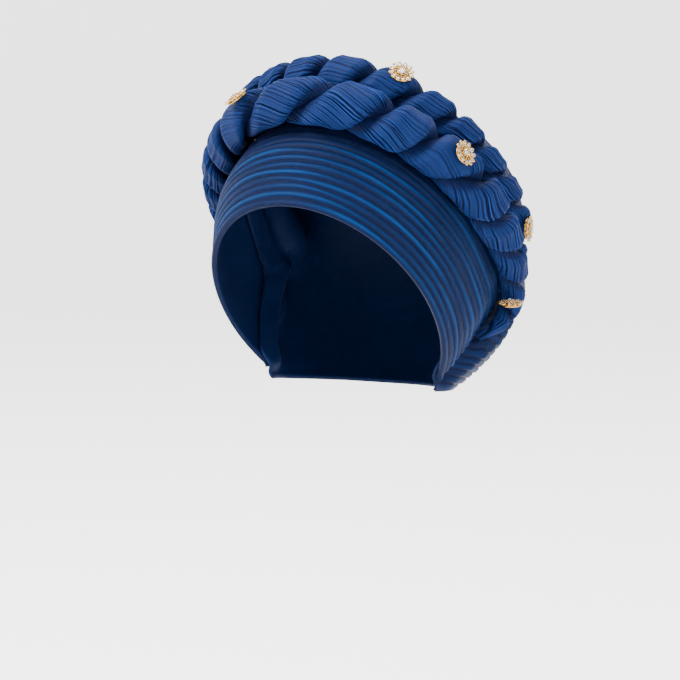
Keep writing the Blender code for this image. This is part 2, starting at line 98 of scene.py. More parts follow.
# Rear hem of the band, a straight cut when seen from the side.
HEM_TIP = np.array([0.005, -0.170])
HEM_TOP = np.array([0.0540, -0.110])
HEM_FLARE = 0.0065
HEM_FLARE_REACH = 0.050
CORNER_FLARE = 0.0060
CORNER_START = -0.1685
CORNER_LENGTH = 0.010

# Crown bag: each pleat runs from one side edge round the back to the other.
BAG_EDGE = [
    # share of the pleats, side edge y, side edge z, angle of the back point
    (0.0, 0.004, -0.18, -66.0), (0.05, 0.002, -0.172, -62.0), (0.12, -0.001, -0.163, -57.0),
    (0.25, 0.009, -0.15, -49.0), (0.37, 0.019, -0.138, -38.0), (0.48, 0.027, -0.1275, -20.0),
    (0.62, 0.0325, -0.1195, 20.0), (0.8, 0.0335, -0.113, 76.0), (1.0, 0.0315, -0.107, 132.5),
]
BAG_PLEATS = 24
BAG_PLEAT_DEPTH = 0.0012
BAG_PUFF_START = 0.003
BAG_PUFF_RISE = 0.016
BAG_COLUMNS = 21
BAG_SIDE_SHARE = 0.55

# Ropes: an axis where a tilted plane cuts an ellipsoid wider than the head.
ROPE_GAP = 0.0018
ROPE_CLEARANCE = 0.0012
BAG_CLEARANCE = 0.0022
VALLEY_SLOPE = 1.3
STRAND_GAP = 0.0006
PRESS_START = 0.40
PRESS_SHARE = 0.60

FRONT_ROPE = {
    "centre": np.array([0.0, 0.0024, -0.104]),
    "semi": np.array([0.0991, 0.1175, 0.1199]),
    "tilt": math.radians(47.8),
    "height": -0.0389,
    "end_angle": math.radians(103.5),
    "tail": [
        # x, y, z of the end that thins out and tucks in behind the hem
        (0.0913, 0.048, -0.115), (0.0893, 0.0497, -0.125), (0.0866, 0.047, -0.1345),
        (0.0837, 0.0412, -0.141), (0.0806, 0.0345, -0.1448), (0.0772, 0.0275, -0.1473),
    ],
    "radius": [
        # distance from the middle, radius
        (-0.262, 0.0018), (-0.246, 0.003), (-0.236, 0.0068), (-0.222, 0.0082), (-0.195, 0.0092),
        (-0.168, 0.0112), (-0.13, 0.0128), (-0.07, 0.0132), (-0.02, 0.0145), (0.03, 0.0155),
        (0.1, 0.0155), (0.135, 0.0147), (0.166, 0.012), (0.19, 0.0105), (0.212, 0.0087),
        (0.224, 0.0076), (0.233, 0.0064), (0.24, 0.0042), (0.248, 0.0026), (0.262, 0.0018),
    ],
    "lean": [
        # distance from the middle, slant of the folds along the rope
        (-0.262, 0.6), (-0.1, 0.45), (-0.05, 0.7), (0.03, 0.7), (0.08, 0.5),
        (0.12, 0.5), (0.17, 0.7), (0.262, 0.7),
    ],
    "spin": [
        # distance from the middle, angle of the first strand in degrees
        (-0.262, 1520.0), (-0.245, 1450.0), (-0.2, 1090.0), (-0.143, 662.0), (-0.118, 470.0),
        (-0.091, 277.0), (-0.066, 86.0), (-0.023, -120.0), (0.021, -310.0), (0.057, -492.0),
        (0.086, -671.0), (0.124, -846.0), (0.151, -1020.0), (0.18, -1193.0), (0.208, -1364.0),
        (0.229, -1530.0), (0.245, -1640.0), (0.262, -1700.0),
    ],
}

BACK_ROPE = {
    "centre": np.array([0.0, -0.0012, -0.104]),
    "semi": np.array([0.1063, 0.1062, 0.1211]),
    "tilt": math.radians(50.7),
    "height": -0.0097,
    "end_angle": math.radians(118.0),
    "tail": [],
    "radius": [
        (-0.2, 0.006), (-0.186, 0.01), (-0.162, 0.0125), (-0.125, 0.015), (0.125, 0.0152),
        (0.162, 0.0125), (0.186, 0.0104), (0.2, 0.006),
    ],
    "lean": [
        (-0.2, 0.5), (0.02, 0.5), (0.08, 0.35), (0.2, 0.4),
    ],
    "spin": [
        (-0.2, 1280.0), (-0.046, 84.0), (-0.024, -106.0), (0.002, -293.0), (0.031, -476.0),
        (0.06, -657.0), (0.084, -835.0), (0.108, -1011.0), (0.131, -1186.0), (0.154, -1358.0),
        (0.184, -1523.0), (0.2, -1630.0),
    ],
}

# Brooches: rings of points from the back plate to the centre stone, in
# metres out from the middle and up from the cloth, and how deep the petals cut.
BROOCH_PETALS = 12
BROOCH_GAP = 0.0003
BROOCH_START = 0.030
BROOCH_RINGS = [
    # radius, height, depth of the petals as a share
    (0.0058, 0.0, 0.0), (0.0082, 0.0010, 0.20), (0.0078, 0.0022, 0.20),
    (0.0030, 0.0026, 0.0), (0.0024, 0.0040, 0.0),
]
BROOCHES = [
    # rope, distance along it, angle round it to the middle, angle of its face,
    # lean of its face along the rope
    ("back", 0.0427, 10.0, 24.0, 0.0),
    ("front", 0.0960, 14.0, 8.0, 6.0),
    ("back", 0.1630, 60.0, 24.0, 0.0),
    ("front", 0.2180, 84.0, 155.0, -74.0),
    ("front", -0.0420, 18.0, -4.0, 0.0),
]

# Fine flowers: material numbers, claws round the large stone, and the places
# of the wires' points, in metres out from the middle and up from the cloth.
GOLD, GLASS = 0, 1
CLAWS = 8
RIB_PLACES = ((0.0062, 0.0005), (0.0052, 0.0018), (0.0040, 0.0024))
CLAW_PLACES = ((0.0030, 0.0018), (0.0027, 0.0030), (0.0021, 0.0037))
STONE_RINGS = [
    # share of the radius, share of the height, turn as a share of a side
    (0.55, 1.0, 0.5), (0.92, 0.55, 0.0), (1.0, 0.30, 0.5), (0.45, -0.4, 0.0),
]

# Colours of the cloth: painted shade in the valleys, then deep, lit, painted highlight on the
# crests and sheen of each cloth.
PAINTED_VALLEY_SHADE = (0.0026, 0.0016, 0.0072, 1.0)
PLEATED_COLOURS = (
    (0.0002, 0.0030, 0.0175, 1.0), (0.0003, 0.0076, 0.0380, 1.0), (0.0008, 0.0270, 0.1080, 1.0),
    (0.35, 0.38, 0.85, 1.0),
)
ROPE_COLOURS = (
    (0.0006, 0.0022, 0.0150, 1.0), (0.0009, 0.0056, 0.0300, 1.0), (0.0130, 0.0480, 0.2150, 1.0),
    (0.42, 0.36, 0.90, 1.0),
)

# Camera: angles, distance and aim, the aim's offset in the picture at 1580
# pixels to the metre, and a lens 2528 pixels long for 680 pixels of picture.
VIEW_TURN, VIEW_RISE = math.radians(28.0), math.radians(6.0)
VIEW_DISTANCE = 1.6
VIEW_AIM = (0.0, 0.0, -0.103)
AIM_RIGHT, AIM_UP = 9.0 / 1580.0, 74.5 / 1580.0
SENSOR = 36.0
LENS = 2528.0 / 680.0 * SENSOR

# Studio: the floor's level, its flat reach, the bend at its end and its wall.
FLOOR_LEVEL = -0.52
FLOOR_REACH = 3.2
FLOOR_BEND = 1.6
FLOOR_WALL = 5.0
LIT_PLACE = (0.0, 0.0, -0.09)
WHITE = (1.0, 1.0, 1.0, 1.0)


def smooth_step(value):
    """0 below 0, 1 above 1, and a smooth ramp between."""
    share = np.clip(value, 0.0, 1.0)
    return share * share * (3.0 - 2.0 * share)


def read_table(position, rows, column):
    """A column of a table at a position, on a smooth curve through its rows."""
    keys = np.array([row[0] for row in rows])
    values = np.array([row[column] for row in rows])
    steps = np.diff(values) / np.diff(keys)
    product = steps[1:] * steps[:-1]
    middle = np.where(product > 0.0, 2.0 * product / (steps[1:] + steps[:-1] + 1e-12), 0.0)
    slopes = np.concatenate([steps[:1], middle, steps[-1:]])
    place = np.clip(position, keys[0], keys[-1])
    index = np.clip(np.searchsorted(keys, place) - 1, 0, len(keys) - 2)
    width = keys[index + 1] - keys[index]
    share = (place - keys[index]) / width
    square = share * share
    cube = square * share
    return (
        (2.0 * cube - 3.0 * square + 1.0) * values[index]
        + (cube - 2.0 * square + share) * width * slopes[index]
        + (3.0 * square - 2.0 * cube) * values[index + 1]
        + (cube - square) * width * slopes[index + 1]
    )


def unit(vectors):
    """Vectors scaled to length 1."""
    return vectors / np.linalg.norm(vectors, axis=-1, keepdims=True)


def tilted_axes(tilt):
    """Normal of a plane tilted back by an angle, and the way up within it."""
    normal = np.array([0.0, math.sin(tilt), math.cos(tilt)])
    upward = np.array([0.0, -math.cos(tilt), math.sin(tilt)])
    return normal, upward


def ray_to_ellipsoid(start, directions, centre, semi):
    """How far rays from inside an ellipsoid travel before they leave it."""
    offset = (start - centre) / semi
    heading = directions / semi
    a = np.sum(heading * heading, axis=-1)
    b = np.sum(offset * heading, axis=-1)
    c = np.sum(offset * offset, axis=-1) - 1.0
    return (-b + np.sqrt(b * b - a * c)) / a


def plane_cut(centre, semi, tilt, height):
    """The oval where a tilted plane cuts an ellipsoid.

    Gives the oval's middle, its half width along X, its half height and the
    direction of that height.
    """
    normal, upward = tilted_axes(tilt)
    lift = height - centre @ normal
    a = np.sum((upward / semi) ** 2)
    b = 2.0 * lift * np.sum(normal * upward / semi**2)
    c = lift * lift * np.sum((normal / semi) ** 2) - 1.0
    along = -b / (2.0 * a)
    half_height = math.sqrt(along * along - c / a)
    half_width = semi[0] * math.sqrt(a) * half_height
    middle = centre + lift * normal + along * upward
    return middle, half_width, half_height, upward


def oval_points(oval, angles):
    """Points of an oval, at angles measured from its top towards +X."""
    middle, half_width, half_height, upward = oval
    across = np.outer(half_width * np.sin(angles), [1.0, 0.0, 0.0])
    return middle + across + np.outer(half_height * np.cos(angles), upward)


def arc_lengths(points):
    """Distance along a line of points, from its first."""
    steps = np.linalg.norm(np.diff(points, axis=0), axis=1)
    return np.concatenate([[0.0], np.cumsum(steps)])


def rope_route(rope):
    """Fine points of a rope's axis, from the right ear over to the left."""
    oval = plane_cut(rope["centre"], rope["semi"], rope["tilt"], rope["height"])
    half = oval_points(oval, np.linspace(0.0, rope["end_angle"], 60))
    if rope["tail"]:
        half = np.vstack([half, np.array(rope["tail"])])
    length = arc_lengths(half)
    fine = np.linspace(0.0, length[-1], 241)
    curve = [read_table(fine, np.column_stack([length, half]), axis) for axis in (1, 2, 3)]
    left = np.stack(curve, axis=1)
    right = left[:0:-1] * np.array([-1.0, 1.0, 1.0])
    return np.vstack([right, left])


def rope_frame(rope):
    """Axis, directions, radius and spin of a rope at closely spaced points."""
    points = rope_route(rope)
    along = arc_lengths(points)
    along = along - along[len(along) // 2]
    tangent = unit(np.gradient(points, axis=0))
    outward = (points - rope["centre"]) / rope["semi"] ** 2
    outward = unit(outward - np.sum(outward * tangent, axis=1)[:, None] * tangent)
    return {
        "points": points, "along": along, "tangent": tangent, "outward": outward,
        "forward": np.cross(tangent, outward),
        "radius": read_table(along, rope["radius"], 1),
        "lean": read_table(along, rope["lean"], 1),
        "spin": np.radians(read_table(along, rope["spin"], 1)),
    }


def squeeze_beside(frame, other):
    """Thin a rope where the other one lies against it."""
    apart = np.linalg.norm(frame["points"][:, None] - other["points"][None], axis=2)
    room = np.min(apart - other["radius"][None], axis=1) - ROPE_GAP
    frame["radius"] = np.minimum(frame["radius"], room)


def pressed(height, radius):
    """Height above a rope's axis once the rope is pressed flat on the head."""
    start = -PRESS_START * radius
    return np.where(height < start, start + PRESS_SHARE * (height - start), height)


def clear_of_ropes(points, frames, clearance):
    """Sink points towards the head into valleys that pass under the ropes.

    The clearance is one value, or one value for each point. Points further
    than ROPE_REACH beside a rope keep their place.
    """
    clearance = np.broadcast_to(clearance, points.shape[:-1]).reshape(-1, 1)
    flat = points.reshape(-1, 3)
    heading = unit(flat - EYE)
    reach = np.linalg.norm(flat - EYE, axis=1)
    for frame in frames:
        to_axis = frame["points"] - EYE
        wanted = frame["radius"] + clearance
        depth = heading @ to_axis.T
        miss = np.sqrt(np.maximum(np.sum(to_axis**2, axis=1) - depth**2, 0.0))
        below = np.sqrt(np.maximum(wanted**2 - miss**2, 0.0))
        under = depth + pressed(-below, wanted)
        beside = depth + VALLEY_SLOPE * (miss - wanted)
        limit = np.where(miss < wanted, under, beside)
        limit = np.where((depth > 0.0) & (miss < wanted + ROPE_REACH), limit, 1.0)
        reach = np.minimum(reach, np.min(limit, axis=1))
    return (EYE + reach[:, None] * heading).reshape(points.shape)


def hem_place(points):
    """How far points lie behind the hem, and how far up along it, 0 to 1."""
    line = HEM_TOP - HEM_TIP
    length = np.linalg.norm(line)
    along = line / length
    behind = np.array([along[1], -along[0]])
    local = points[..., 1:] - HEM_TIP
    return local @ behind, (local @ along) / length


def cap_base(points):
    """The head form with the cloth's flare at the hem and rise at the crown."""
    heading = unit(points - EYE)
    reach = ray_to_ellipsoid(EYE, heading, HEAD_CENTRE, HEAD_SEMI)
    on_head = EYE + reach[..., None] * heading
    behind, up_hem = hem_place(on_head)
    flare = smooth_step(1.0 + behind / HEM_FLARE_REACH) * smooth_step(up_hem)
    normal, _ = tilted_axes(BAND_TILT)
    rise, brow = (
        smooth_step((on_head @ normal - start) / length)
        for _, start, length in (CROWN_RISE, BROW_RISE)
    )
    brow = brow * smooth_step(-2.0 * behind / HEM_FLARE_REACH)
    corner = smooth_step((CORNER_START - points[..., 2]) / CORNER_LENGTH)
    reach = reach + HEM_FLARE * flare + CROWN_RISE[0] * rise
    reach = reach + BROW_RISE[0] * brow * (1.0 - rise) + CORNER_FLARE * corner
    return heading, reach


def grid_normals(grid):
    """Outward unit normals of a grid of points on the cap."""
    rows = np.gradient(grid, axis=0)
    columns = np.gradient(grid, axis=1)
    normals = unit(np.cross(rows, columns))
    outward = np.sum(normals * (grid - EYE), axis=-1, keepdims=True)
    return np.where(outward < 0.0, -normals, normals)


def bag_grid(shares, columns, frames):
    """Smooth outer face of the bag: rows from nape to brow, columns round."""
    side_y, side_z, back = (read_table(shares, BAG_EDGE, column) for column in (1, 2, 3))
    back = np.radians(back)
    even = np.linspace(0.0, math.pi, columns)
    angles = even - BAG_SIDE_SHARE * (even - 0.5 * math.pi * (1.0 - np.cos(even)))
    start = np.stack([np.zeros_like(side_y), side_y, side_z], axis=1)
    back_y = BAG_CENTRE[1] + BAG_SEMI[1] * np.cos(back)
    back_z = BAG_CENTRE[2] + BAG_SEMI[2] * np.sin(back)
    inward = unit(np.stack([np.zeros_like(back), back_y - side_y, back_z - side_z], axis=1))
    across = np.array([-1.0, 0.0, 0.0])
    rays = np.cos(angles)[None, :, None] * across
    rays = rays + np.sin(angles)[None, :, None] * inward[:, None, :]
    near, far = (np.full(rays.shape[:2], end) for end in (0.010, 0.260))
    for _ in range(26):
        distance = 0.5 * (near + far)
        points = start[:, None, :] + distance[..., None] * rays
        beyond = np.linalg.norm(points - EYE, axis=-1) > bag_reach(points)
        far = np.where(beyond, distance, far)
        near = np.where(beyond, near, distance)
    tucked = (WALL + CLOTH_GAP) * (1.0 - bag_openness(points))
    return clear_of_ropes(points, frames, BAG_CLEARANCE + BAG_PLEAT_DEPTH + tucked)


def bag_reach(points):
    """How far the bag's face lies from the eye of the form, through points."""
    heading, under = cap_base(points)
    full = ray_to_ellipsoid(EYE, heading, BAG_CENTRE, BAG_SEMI)
    open_share = bag_openness(points)
    tucked = under - (WALL + CLOTH_GAP) * (1.0 - open_share)
    puffed = 0.5 * (tucked + full + np.sqrt((tucked - full) ** 2 + BAG_BLEND**2))
    return tucked + (puffed - tucked) * open_share


def bag_openness(points):
    """0 where the bag is tucked under the band, 1 where it is free."""
    behind, _ = hem_place(points)
    normal, _ = tilted_axes(BAND_TOP_TILT)
    above = points @ normal - BAND_TOP_HEIGHT
    side = smooth_step((behind - BAG_PUFF_START) / BAG_PUFF_RISE)
    top = smooth_step((above - BAG_PUFF_START) / BAG_PUFF_RISE)
    return np.maximum(side, top)


def ribbed_shares(ribs, high):
    """Rows at each valley and crest of the ribs, and how high each stands."""
    shares = np.linspace(0.0, high, 2 * ribs + 1)
    return shares, (np.arange(2 * ribs + 1) % 2).astype(float)


def grid_faces(rows, columns):
    """Corner numbers of the faces of a grid, split as the lofts split them."""
    faces = []
    for column in range(columns - 1):
        for row in range(rows - 1):
            low = row * columns + column
            high = low + 1
            faces += [(low, low + columns, high + columns), (low, high + columns, high)]
    return faces


def settled(face, tree):
    """A face of cloth sunk towards the head wherever it is not clear of others."""
    faces = grid_faces(*face.shape[:2])
    points = face.reshape(-1, 3).copy()
    heading = unit(points - EYE)
    for _ in range(SETTLE_ROUNDS):
        lifted = points + SETTLE_GAP * heading
        hits = BVHTree.FromPolygons(lifted.tolist(), faces, all_triangles=True).overlap(tree)
        if not hits:
            break
        corners = sorted({corner for hit in hits for corner in faces[hit[0]]})
        points[corners] -= SETTLE_STEP * heading[corners]
    return points.reshape(face.shape)


def rope_at(frame, place):
    """Axis points, directions, radius, lean and spin of a rope at some places."""
    along = frame["along"]
    values = {}
    for key in ("points", "tangent", "outward", "forward"):
        values[key] = np.stack([np.interp(place, along, line) for line in frame[key].T], axis=-1)
    for key in ("radius", "lean", "spin"):
        values[key] = np.interp(place, along, frame[key])
    return values


def brooch_axes(here, face, lean):
    """Face direction of a brooch and two directions across it."""
    normal = math.cos(face) * here["outward"] + math.sin(face) * here["forward"]
    normal = unit(math.cos(lean) * normal + math.sin(lean) * here["tangent"])
    side = unit(np.cross(here["tangent"], normal))
    return normal, side, np.cross(normal, side)


def seated(points, away, tree):
    """Points lowered against a direction until they all but touch the cloth."""
    points = points + BROOCH_START * away
    for _ in range(60):
        apart = min(tree.find_nearest(Vector(point))[3] for point in points)
        points = points - (apart - BROOCH_GAP) * away
    return points


# Fine cloth: how closely its grids are set.
BAND_ROWS_PER_RIB = 11
BAND_FINE_COLUMNS = 261
BAND_SPREAD = 0.06
BAG_ROWS_PER_PLEAT = 11
BAG_FINE_COLUMNS = 241
LINING_STEP = 4
# Painted shade of the lining, as a value of the crest attribute.
LINING_SHADE = 0.4
STRAND_TURN = math.radians(7.0)
STRAND_STEP = 0.0022
STRAND_POINTS = 170
OUTLINE_POINTS = 1200
ROWS_AT_ONCE = 12
BAG_PARTS = 12

# Clearances of the band from the ropes, and how far beside a rope the cloth sinks.
BAND_CLEAR = ROPE_CLEARANCE + BAND_RIB_DEPTH
ROPE_REACH = 0.030

# Band: the rear hem's roll and the width of its painted highlight, the folded front edge and the
# plain upper brow.
BAND_EDGE_REACH = 0.0016
BAND_EDGE_ROLL = 0.0005
BAND_EDGE_CURL = 0.0011
BAND_EDGE_HIGHLIGHT = 0.0009
BAND_LIP_PLACE = 0.0012
BAND_LIP_WIDTH = 0.0016
BAND_HEIGHT = 0.075
PLAIN_START, PLAIN_LENGTH = 0.52, 0.14
TEMPLE_START, TEMPLE_LENGTH = 0.30, 0.22

# Bag: how deep its flatter back is, by the share of the pleats.
BAG_FLAT_BACK = [
    (0.0, 0.0), (0.08, 0.001), (0.40, 0.0045), (0.58, 0.0066),
    (0.68, 0.0050), (0.80, 0.0), (1.0, 0.0),
]

# Folds: two drifts, each a size and its paces round and up, the share in which
# they begin, and the mean, spread and paces round and by fold of the strength.
BAND_FOLDS = (((0.16, 3.1, 5.0), (0.10, 9.0, 17.0)), 0.10, (0.86, 0.30, 4.3, 2.4))
BAG_FOLDS = (((0.20, 3.7, 6.0), (0.10, 11.0, 19.0)), 0.06, (0.90, 0.28, 3.6, 2.7))

# Gathers of a strand: turns round it per metre, number, how far each wanders,
# and the ranges of their widths and weights.
GATHER_SLANT = -25.0
GATHERS = 35
GATHER_JITTER = 0.38
GATHER_WANDER = 0.032
GATHER_WIDTHS = (0.0050, 0.0095)
GATHER_WEIGHTS = (0.10, 1.20)
GATHER_DEPTH = 0.00175
GATHER_SHADE = 0.0015
GATHER_SEED = 31
FULL_RADIUS = 0.013
STRAND_LIFT = 0.08 * STRAND_GAP
STRAND_ROUND = 0.060

# Outline of a strand, in shares of the rope's radius: along the plane that
# parts the two strands, and away from it.
FINE_OUTLINE = [
    (-0.44, 0.03), (-0.80, 0.34), (-0.70, 0.77), (-0.26, 0.995), (0.26, 0.995), (0.70, 0.77),
    (0.80, 0.34), (0.44, 0.03), (0.18, 0.00), (-0.18, 0.00),
]

# How deep the gathers of each rope are, along it.
FRONT_GATHERS = [
    (-0.262, 0.8), (-0.110, 0.9), (-0.085, 0.25), (-0.055, 0.25), (-0.030, 0.9), (0.045, 1.0),
    (0.066, 0.35), (0.088, 0.30), (0.110, 1.0), (0.262, 1.0),
]
BACK_GATHERS = [
    (-0.200, 1.0), (-0.090, 0.9), (-0.060, 0.8), (0.050, 0.6), (0.075, 1.0), (0.200, 1.0),
]


def waver(place, seed, waves=(1.0, 1.7, 2.9)):
    """A smooth irregular wave between about -1 and 1."""
    chance = np.random.default_rng(seed)
    total = 0.0
    for pace in waves:
        total = total + np.sin(pace * place + chance.uniform(0.0, 2.0 * math.pi)) / pace**0.5
    return total / sum(pace**-0.5 for pace in waves)


def in_parts(points, work):
    """The work done on a large grid a few rows at a time."""
    starts = range(0, len(points), ROWS_AT_ONCE)
    return np.vstack([work(points[start : start + ROWS_AT_ONCE]) for start in starts])


def rung_faces(points, outer, inner):
    """Faces between two rows of points that run side by side."""
    outer_share, inner_share = (arc_lengths(points[line]) for line in (outer, inner))
    outer_share = np.append(outer_share / outer_share[-1], 2.0)
    inner_share = np.append(inner_share / inner_share[-1], 2.0)
    faces = []
    step_out = step_in = 0
    while step_out < len(outer) - 1 or step_in < len(inner) - 1:
        if outer_share[step_out + 1] <= inner_share[step_in + 1]:
            faces.append((outer[step_out], outer[step_out + 1], inner[step_in]))
            step_out += 1
        else:
            faces.append((outer[step_out], inner[step_in + 1], inner[step_in]))
            step_in += 1
    return faces


def quads_between(low, high, stride):
    """Quads from two neighbours in a row to the same two a row further."""
    return np.stack([low, high, high + stride, low + stride], axis=-1).reshape(-1, 4).tolist()


def quad_faces(rows, columns, first):
    """Corner numbers of the quads of a grid."""
    low = first + np.arange(rows - 1)[:, None] * columns + np.arange(columns - 1)
    return quads_between(low, low + 1, columns)


def added(name, data):
    """An object of some data, linked to the scene."""
    made = bpy.data.objects.new(name, data)
    bpy.context.scene.collection.objects.link(made)
    return made


def finished_piece(name, points, faces, places, crest, material, nodes):
    """A mesh with its cloth coordinates and its painted shade and highlights, that stands for some
    solids.
    """
    data = bpy.data.meshes.new(name)
    data.from_pydata(points.tolist(), [], faces)
    mesh = bmesh.new()
    mesh.from_mesh(data)
    bmesh.ops.recalc_face_normals(mesh, faces=mesh.faces)
    mesh.to_mesh(data)
    mesh.free()
    data.shade_smooth()
    corners = np.zeros(len(data.loops), dtype=np.int32)
    data.loops.foreach_get("vertex_index", corners)
    layer = data.uv_layers.new(name="cloth")
    layer.data.foreach_set("uv", places[corners].astype(np.float32).ravel())
    # The crest attribute holds painted shade and highlights, from 0 dark to 1 light.
    painted_shading = data.color_attributes.new("crest", "FLOAT_COLOR", "POINT")
    shade = np.clip(np.asarray(crest, dtype=np.float32), 0.0, 1.0)
    colours = np.stack([shade, shade, shade, np.ones_like(shade)], 1)
    painted_shading.data.foreach_set("color", colours.ravel())
    data.materials.append(material)
    piece = added(name, data)
    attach(piece, "root")
    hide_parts(*nodes)
    return piece


def cloth_wall(name, outer, smooth, crest, material, nodes):
    """A wall of cloth from its fine outer face and its smooth form, with painted shade and
    highlights given by crest.
    """
    rows, columns = outer.shape[:2]
    heading = unit(smooth - EYE)
    lining = smooth - WALL * unit(grid_normals(smooth) + heading)
    picks = np.ix_(*(
        np.unique(np.append(np.arange(0, count, LINING_STEP), count - 1))
        for count in (rows, columns)
    ))
    inner = lining[picks]
    spans = []
    for axis in (1, 0):
        steps = np.linalg.norm(np.diff(smooth, axis=axis), axis=2).mean(1 - axis)
        spans.append(np.concatenate([[0.0], np.cumsum(steps)]))
    places = np.stack(np.meshgrid(*spans), axis=-1)
    first = rows * columns
    points = np.vstack([outer.reshape(-1, 3), inner.reshape(-1, 3)])
    spots = np.vstack([places.reshape(-1, 2), places[picks].reshape(-1, 2)])
    lined = inner.shape[0] * inner.shape[1]
    shade = np.concatenate([crest.ravel(), np.full(lined, LINING_SHADE)])
    faces = quad_faces(rows, columns, 0) + quad_faces(*inner.shape[:2], first)
    outer_ids = np.arange(first).reshape(rows, columns)
    inner_ids = first + np.arange(lined).reshape(inner.shape[:2])
    for edge in (np.s_[0], np.s_[-1], np.s_[:, 0], np.s_[:, -1]):
        faces += rung_faces(points, outer_ids[edge], inner_ids[edge])
    return finished_piece(name, points, faces, spots, shade, material, nodes)


def raised(smooth, height):
    """A smooth face raised by the height of its folds."""
    return smooth + height[..., None] * grid_normals(smooth)


def sunk(smooth, height, coarse, fine, tree):
    """How far the solid's own face was sunk to clear the ropes, on a finer grid."""
    high = raised(smooth, height)
    drop = np.linalg.norm(high - settled(high, tree), axis=-1)
    across = np.array([np.interp(fine[1], coarse[1], row) for row in drop])
    return np.array([np.interp(fine[0], coarse[0], column) for column in across.T]).T


def rib_profile(phase):
    """Height of rounded ribs with narrow valleys, 0 to 1, at a phase in ribs."""
    return np.abs(np.sin(math.pi * phase)) ** 0.85


def wandering(phase, share, turn, folds, seed):
    """Phase, strength and height of folds that wander from their even places."""
    (wide, near), start, (mean, spread, pace, by_fold) = folds
    drift = wide[0] * waver(wide[1] * turn + wide[2] * share, seed)
    drift = drift + near[0] * waver(near[1] * turn + near[2] * share, seed + 1)
    phase = phase + drift * smooth_step(share / start)
    strength = mean + spread * waver(pace * turn + by_fold * np.floor(phase), seed + 2)
    return phase, strength, rib_profile(phase)


def add_fine_band(frames, tree, material):
    """The forehead band with its soft ribs, folded edge and wavy rear hem."""
    rows = np.linspace(0.0, 1.0, int(BAND_RIBS / BAND_RIBBED_SHARE * BAND_ROWS_PER_RIB) + 1)
    even = np.linspace(-1.0, 1.0, BAND_FINE_COLUMNS)
    columns = even * (1.0 - BAND_SPREAD * (1.0 - np.abs(even)))
    smooth = in_parts(
        band_lines(rows, columns), lambda part: clear_of_ropes(part, frames, BAND_CLEAR)
    )
    coarse_rows, coarse_crest = ribbed_shares(BAND_RIBS, BAND_RIBBED_SHARE)
    coarse_rows = np.append(coarse_rows, 1.0)
    coarse_crest = np.append(coarse_crest, 0.0)
    coarse_columns = np.linspace(-1.0, 1.0, BAND_COLUMNS)
    coarse = clear_of_ropes(band_lines(coarse_rows, coarse_columns), frames, BAND_CLEAR)
    height = BAND_RIB_DEPTH * coarse_crest[:, None]
    drop = sunk(coarse, height, (coarse_rows, coarse_columns), (rows, columns), tree)
    smooth = smooth - drop[..., None] * unit(smooth - EYE)
    share = rows[:, None]
    turn = columns[None, :]
    evenly = share / BAND_RIBBED_SHARE * BAND_RIBS
    phase, strength, crest = wandering(evenly, share, turn, BAND_FOLDS, 11)
    temple = smooth_step((np.abs(turn + 0.02) - TEMPLE_START) / TEMPLE_LENGTH)
    plain = smooth_step((share - PLAIN_START) / PLAIN_LENGTH) * (1.0 - temple)
    strength = strength * (1.0 - 0.78 * plain)
    small = rib_profile(3.0 * phase + 0.5 * waver(7.0 * turn + share, 14))
    fine = 0.30 * small * (0.45 + 0.55 * plain)
    height = BAND_RIB_DEPTH * (1.35 * strength * crest + 0.40 * fine)
    rest = arc_lengths(smooth[len(rows) // 2])
    from_end = np.minimum(rest, rest[-1] - rest)[None, :]
    hem = np.exp(-((from_end / BAND_EDGE_REACH) ** 2))
    lip = np.exp(-(((share * BAND_HEIGHT - BAND_LIP_PLACE) / BAND_LIP_WIDTH) ** 2))
    height = height * (1.0 - 0.35 * hem) + BAND_EDGE_ROLL * hem + BAND_EDGE_ROLL * lip
    outer = raised(smooth, height)
    along = unit(np.gradient(smooth, axis=1))
    side = np.sign(turn)
    curl = BAND_EDGE_CURL * (crest - 0.5) * strength * hem * side
    outer = outer + curl[..., None] * along
    # Painted shade and highlight: darker in the rib valleys and lighter on the crests, evened out
    # on the plain brow, with a painted highlight along the rear hem.
    shade = np.clip(0.15 + 0.85 * strength * crest, 0.0, 1.0)
    shade = shade * (1.0 - 0.3 * plain) + 0.25 * plain
    shade = np.maximum(shade**2.0, 0.80 * np.exp(-((from_end / BAND_EDGE_HIGHLIGHT) ** 2)))
    piece = cloth_wall("ribbed_band", outer, smooth, shade, material, ["forehead_band"])


def band_lines(shares, sides):
    """Face of the head form under the band: rows up it, columns round it."""
    line = HEM_TOP - HEM_TIP
    rows = []
    for share in shares:
        tilt = BAND_TILT + share * (BAND_TOP_TILT - BAND_TILT)
        height = BAND_EDGE_HEIGHT + share * (BAND_TOP_HEIGHT - BAND_EDGE_HEIGHT)
        oval = plane_cut(HEAD_CENTRE, HEAD_SEMI, tilt, height)
        middle, _, half_height, upward = oval
        system = np.array([[upward[1], -line[0]], [upward[2], -line[1]]])
        drop = np.linalg.solve(system, HEM_TIP - middle[1:])[0]
        end_angle = math.acos(max(-1.0, drop / half_height))
        rows.append(oval_points(oval, sides * end_angle))
    points = np.array(rows)
    heading, reach = cap_base(points)
    return EYE + reach[..., None] * heading


